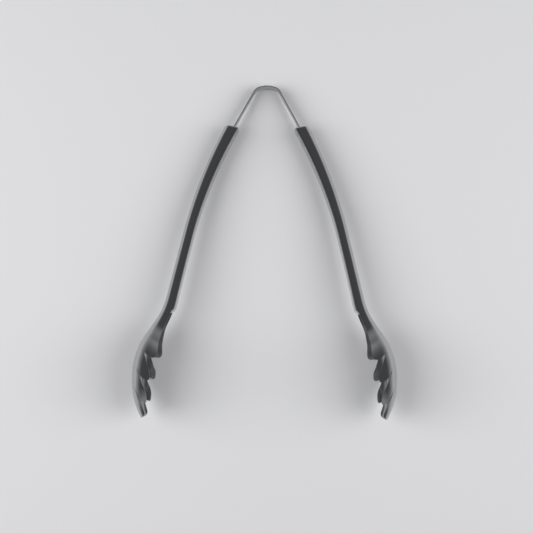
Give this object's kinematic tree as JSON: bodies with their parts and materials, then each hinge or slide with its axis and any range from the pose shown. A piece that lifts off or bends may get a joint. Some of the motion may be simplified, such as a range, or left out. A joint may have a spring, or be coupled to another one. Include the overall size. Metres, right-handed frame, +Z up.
{
  "type": "kitchen tongs",
  "caption": "Sprung all-metal serving tongs: mirrored channel handles joined by a bent spring strip, each ending in a toothed scoop.",
  "frame": {"origin": "middle of the bounding box, on the surface that the tongs lie on", "axes": "+Y along the tongs from the toothed heads to the spring, X the way the arms open, +Z up from the surface"},
  "size_m": [0.2316, 0.296, 0.054],
  "materials": {
    "polished_steel": "polished",
    "plain_steel": "as rolled",
    "spring_steel": "bright rolled strip"
  },
  "bodies": {
    "spring": {"spring_band": "spring_steel"},
    "left_arm": {"left_arm": "polished_steel", "left_cover": "polished_steel", "left_end_cap": "polished_steel", "left_spring_seat": "plain_steel", "left_clamp_plate": "plain_steel", "left_rivets": "plain_steel"},
    "right_arm": {"right_arm": "polished_steel", "right_cover": "polished_steel", "right_end_cap": "polished_steel", "right_spring_seat": "plain_steel", "right_clamp_plate": "plain_steel", "right_rivets": "plain_steel"}
  },
  "joints": [
    {"name": "left_arm_swing", "type": "hinge", "parent": "spring", "child": "left_arm", "pos_m": [0, 0.13813, 0.00753], "axis": [0, 0.079, 0.9969], "range_deg": [-3, 19.3], "stiffness_Nm_per_rad": 4, "deforming": ["spring_band"]},
    {"name": "right_arm_swing", "type": "hinge", "parent": "spring", "child": "right_arm", "pos_m": [0, 0.13813, 0.00753], "axis": [0, -0.079, -0.9969], "range_deg": [-3, 19.3], "stiffness_Nm_per_rad": 4, "deforming": ["spring_band"]}
  ],
  "couplings": [
    {"joint": "right_arm_swing", "follows": "left_arm_swing", "ratio": 1}
  ]
}
